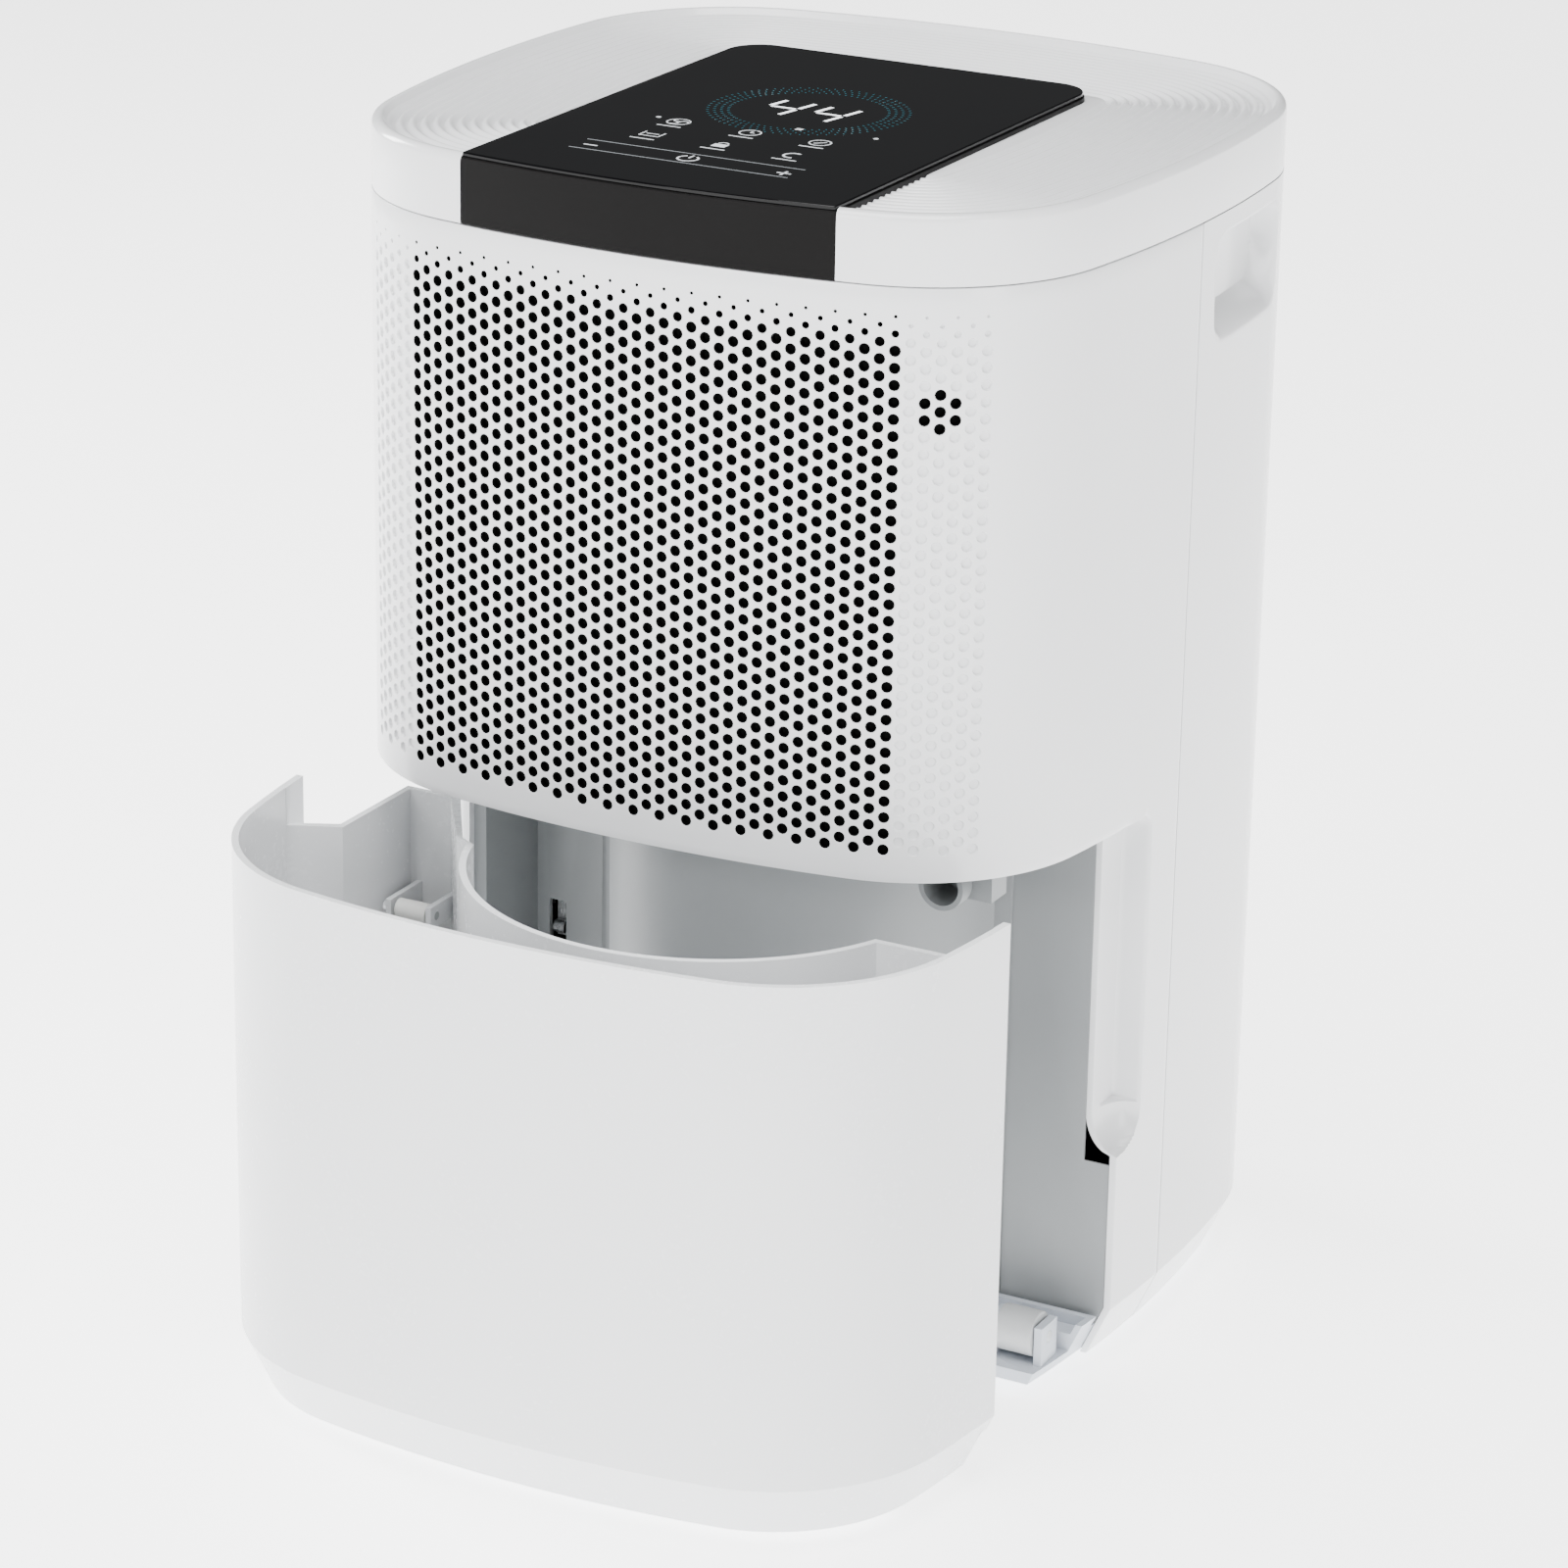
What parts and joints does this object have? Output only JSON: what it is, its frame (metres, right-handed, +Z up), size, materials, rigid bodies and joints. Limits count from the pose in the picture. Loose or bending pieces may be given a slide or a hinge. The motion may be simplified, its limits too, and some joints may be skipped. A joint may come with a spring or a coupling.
{
  "type": "dehumidifier",
  "caption": "Upright compressor dehumidifier with a perforated rounded front, a top touch panel and a pull-out water tank, shown with the tank part-pulled.",
  "frame": {"origin": "on the floor plane, below the middle of the casing's plan outline", "axes": "+Z up, -Y is the perforated front and the way the tank comes out, +X is the right-hand side seen from the front"},
  "size_m": [0.2716, 0.3534, 0.4203],
  "materials": {
    "white_abs": "gloss white moulded ABS",
    "tank_abs": "gloss white moulded ABS",
    "grey_abs": "satin grey moulded ABS",
    "tray_abs": "satin pale blue-grey moulded ABS",
    "panel_abs": "black moulded ABS",
    "panel_gloss": "gloss black touch plate",
    "display_block": "epoxy-filled display block",
    "circuit_board": "solder-masked laminate",
    "capacitor_can": "drawn can",
    "fin_aluminium": "stamped fin stock",
    "copper_tube": "drawn copper",
    "zinc_steel": "zinc-plated steel",
    "spring_steel": "spring steel strip",
    "compressor_paint": "black painted pressed steel",
    "motor_paint": "grey painted steel can",
    "fan_plastic": "black moulded plastic",
    "roller_nylon": "natural nylon",
    "black_rubber": "moulded rubber",
    "grey_rubber": "moulded silicone rubber",
    "float_foam": "hollow moulded float",
    "mesh_nylon": "woven nylon dust mesh"
  },
  "bodies": {
    "casing": {"front_casing": "white_abs", "rear_casing": "white_abs", "top_cover": "white_abs", "panel_body": "panel_abs", "panel_glass": "panel_gloss", "touch_board": "circuit_board", "digit_display": "display_block", "board_posts": "grey_abs", "control_board": "circuit_board", "board_tray": "grey_abs", "run_capacitor": "capacitor_can", "humidity_sensor": "circuit_board", "sensor_holder": "grey_abs", "evaporator_fins": "fin_aluminium", "evaporator_tube": "copper_tube", "evaporator_frame": "zinc_steel", "condenser_fins": "fin_aluminium", "condenser_tube": "copper_tube", "condenser_frame": "zinc_steel", "compressor": "compressor_paint", "compressor_grommets": "black_rubber", "compressor_bolts": "zinc_steel", "accumulator": "copper_tube", "terminal_cover": "panel_abs", "suction_pipe": "copper_tube", "discharge_pipe": "copper_tube", "capillary_tube": "copper_tube", "fan_scroll": "grey_abs", "fan_motor": "motor_paint", "motor_screws": "zinc_steel", "motor_bracket": "zinc_steel", "coil_duct": "grey_abs", "bay_liner": "grey_abs", "drip_tray": "grey_abs", "drip_spout": "grey_abs", "base_tray": "tray_abs", "roller_pins": "zinc_steel", "rubber_feet": "black_rubber", "base_screws": "zinc_steel", "tank_switch": "panel_abs", "drain_port": "grey_abs", "cord_gland": "black_rubber"},
    "tank": {"water_tank": "tank_abs", "float_pin": "zinc_steel"},
    "float": {"tank_float": "float_foam"},
    "impeller": {"fan_impeller": "fan_plastic"},
    "roller_left": {"roller_left": "roller_nylon"},
    "roller_right": {"roller_right": "roller_nylon"},
    "lever": {"switch_lever": "spring_steel"},
    "filter": {"filter_frame": "white_abs", "filter_mesh": "mesh_nylon"},
    "plug": {"drain_plug": "grey_rubber"}
  },
  "joints": [
    {"name": "tank_slide", "type": "slide", "parent": "casing", "child": "tank", "axis": [0, -1, 0], "range_m": [-0.09, 0.13]},
    {"name": "float_swing", "type": "hinge", "parent": "tank", "child": "float", "pos_m": [-0.101, -0.104, 0.146], "axis": [-1, 0, 0], "range_deg": [0, 60]},
    {"name": "impeller_spin", "type": "hinge", "parent": "casing", "child": "impeller", "pos_m": [0, 0.029, 0.302], "axis": [0, 1, 0], "continuous": true},
    {"name": "roller_left_spin", "type": "hinge", "parent": "casing", "child": "roller_left", "pos_m": [-0.1105, -0.056, 0.0187], "axis": [1, 0, 0], "continuous": true},
    {"name": "roller_right_spin", "type": "hinge", "parent": "casing", "child": "roller_right", "pos_m": [0.1105, -0.056, 0.0187], "axis": [1, 0, 0], "continuous": true},
    {"name": "lever_press", "type": "hinge", "parent": "casing", "child": "lever", "pos_m": [-0.1095, 0.0122, 0.1095], "axis": [1, 0, 0], "range_deg": [0, 5], "stiffness_Nm_per_rad": 0.02, "springref_deg": -5.73},
    {"name": "filter_pull", "type": "slide", "parent": "casing", "child": "filter", "axis": [0, 1, 0], "range_m": [0, 0.06]},
    {"name": "plug_pull", "type": "slide", "parent": "casing", "child": "plug", "axis": [0, 1, 0], "range_m": [0, 0.03]}
  ]
}
